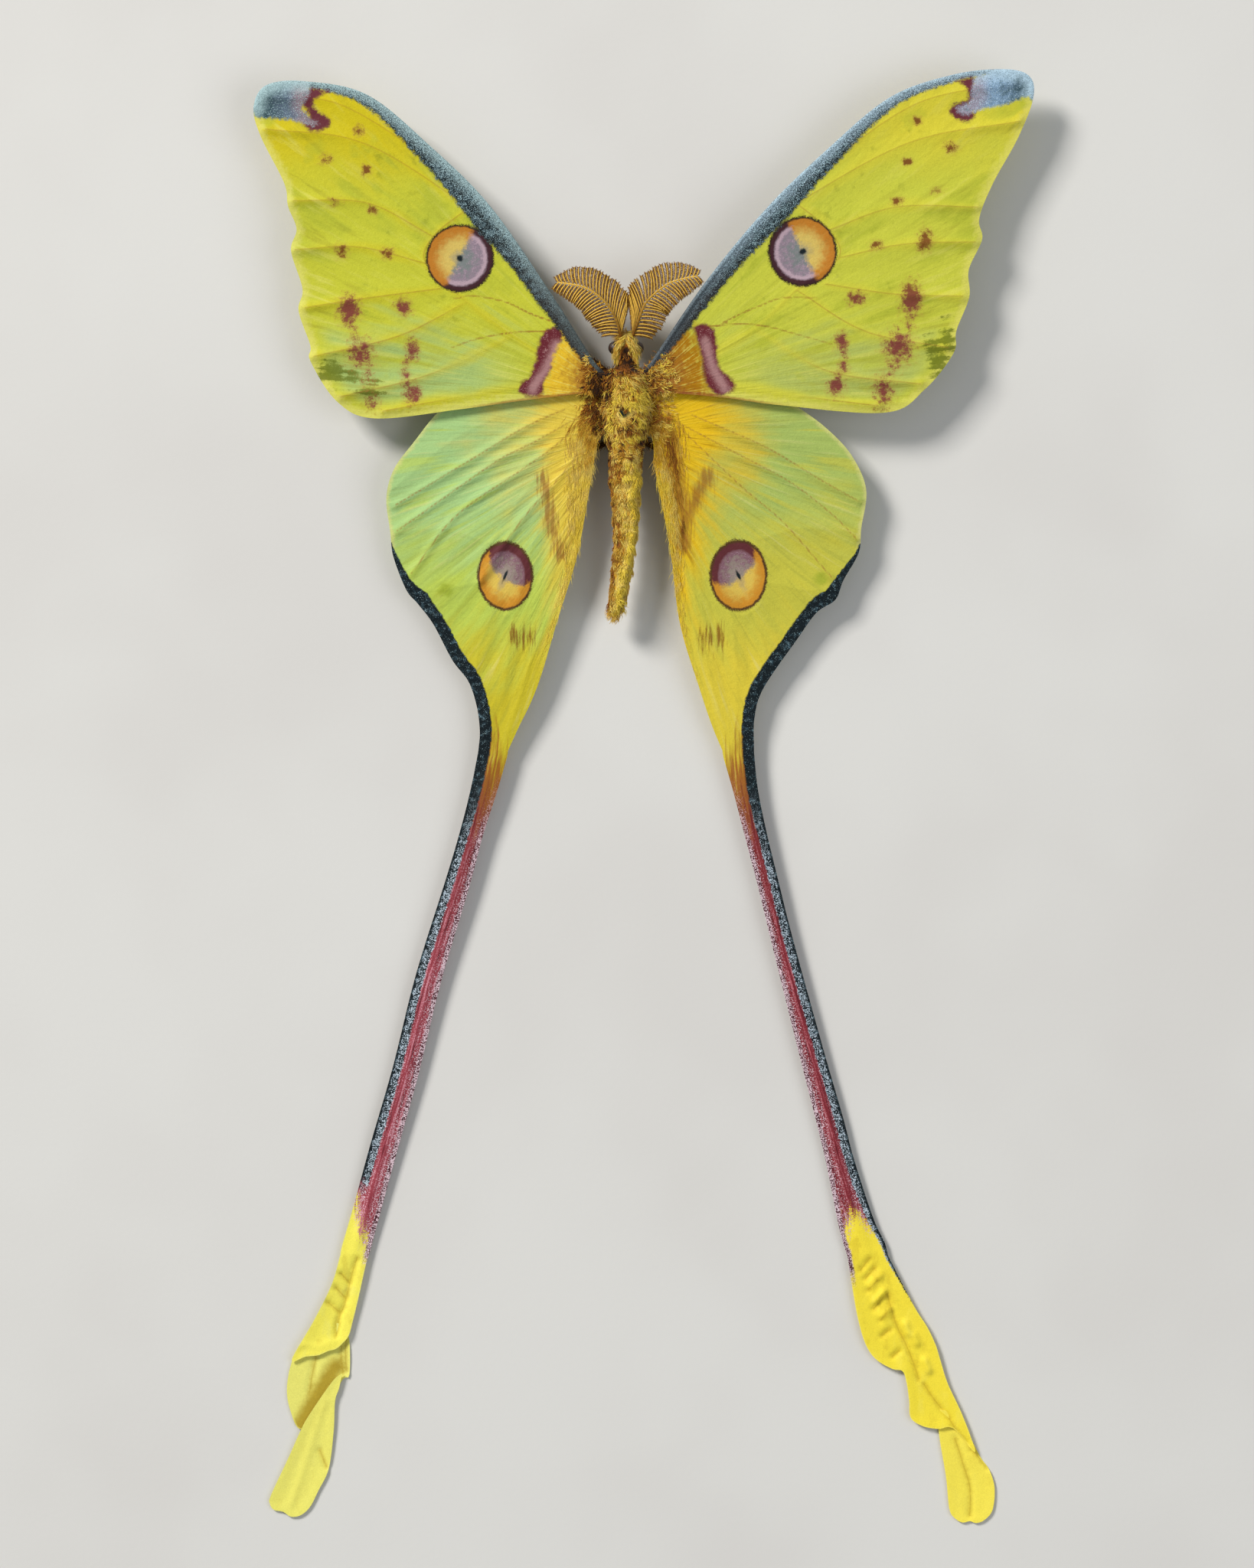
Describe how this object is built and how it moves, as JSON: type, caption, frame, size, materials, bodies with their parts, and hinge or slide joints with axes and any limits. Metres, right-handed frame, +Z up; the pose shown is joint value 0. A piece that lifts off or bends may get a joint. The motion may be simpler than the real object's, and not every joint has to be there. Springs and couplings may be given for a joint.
{
  "type": "comet moth",
  "caption": "Dried, spread comet moth at life size: scalloped forewings, round hindwings with long tails that end in twisted lobes, feathery antennae and a woolly body, standing on its legs.",
  "frame": {"origin": "middle of the moth's outline, on the floor it stands on", "axes": "+Y from the tail ends to the head, +Z up from the floor through the back, +X to the moth's right"},
  "size_m": [0.1579, 0.2953, 0.0131],
  "materials": {
    "wool": "woolly hair, cream to orange-brown",
    "antenna": "dry, matt",
    "eye": "smooth, glossy",
    "forewing": "thin scaled membrane, matt yellow",
    "hindwing": "thin scaled membrane, matt yellow-green",
    "tail_stem": "thin scaled membrane, matt dark red",
    "tail_end": "thin scaled membrane, matt yellow",
    "leg": "dry, hairy, brown"
  },
  "bodies": {
    "root": {"abdomen": "wool", "antenna_left": "antenna", "antenna_right": "antenna", "eye_left": "eye", "eye_right": "eye", "forewing_left": "forewing", "forewing_right": "forewing", "head": "wool", "hindwing_left": "hindwing", "hindwing_right": "hindwing", "leg_fore_left": "leg", "leg_fore_right": "leg", "leg_hind_left": "leg", "leg_hind_right": "leg", "leg_mid_left": "leg", "leg_mid_right": "leg", "tail_left": "tail_stem", "tail_right": "tail_stem", "tail_tip_left": "tail_end", "tail_tip_right": "tail_end", "thorax": "wool"}
  },
  "joints": []
}
